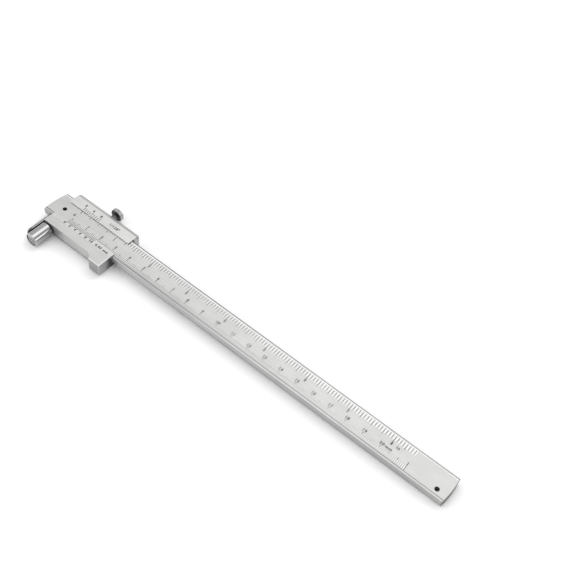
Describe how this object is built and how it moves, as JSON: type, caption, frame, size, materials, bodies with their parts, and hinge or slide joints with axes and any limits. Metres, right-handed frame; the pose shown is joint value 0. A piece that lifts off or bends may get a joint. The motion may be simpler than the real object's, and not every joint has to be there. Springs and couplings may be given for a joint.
{
  "type": "scribing caliper",
  "caption": "Vernier marking caliper: a slider with a free-turning guide roller runs on a graduated beam that carries a hard-tipped scriber; a knurled screw locks it.",
  "frame": {"origin": "on the slider's flat back, at the scale's zero and on the beam's centreline", "axes": "+X along the beam towards the high readings, +Z out of the graduated face, -Y towards the scriber's point"},
  "size_m": [0.2551, 0.0432, 0.0095],
  "materials": {
    "satin_steel": "fine satin",
    "slider_steel": "fine satin",
    "ground_steel": "ground",
    "polished_steel": "polished",
    "knurled_steel": "knurled",
    "screw_steel": "turned",
    "carbide": "ground",
    "gib_brass": "rolled",
    "bronze": "turned"
  },
  "bodies": {
    "beam": {"beam": "satin_steel", "scriber": "ground_steel", "scriber_tip": "carbide", "foot_screw": "screw_steel", "foot_dowel": "screw_steel"},
    "slider": {"slider": "slider_steel", "gib_strip": "gib_brass", "gib_screws": "screw_steel", "roller_washer": "screw_steel", "roller_axle": "screw_steel"},
    "lock_screw": {"lock_screw": "knurled_steel", "lock_tip": "bronze"},
    "guide_roller": {"guide_roller": "polished_steel", "roller_bush": "bronze"}
  },
  "joints": [
    {"name": "slider_slide", "type": "slide", "parent": "beam", "child": "slider", "axis": [1, 0, 0], "range_m": [0, 0.2]},
    {"name": "lock_turn", "type": "hinge", "parent": "slider", "child": "lock_screw", "pos_m": [0.0131, 0.0123, 0.00455], "axis": [0, 1, 0], "range_deg": [-90, 360]},
    {"name": "roller_spin", "type": "hinge", "parent": "slider", "child": "guide_roller", "pos_m": [-0.0074, -0.0143, 0.0026], "axis": [0, 1, 0], "continuous": true}
  ]
}
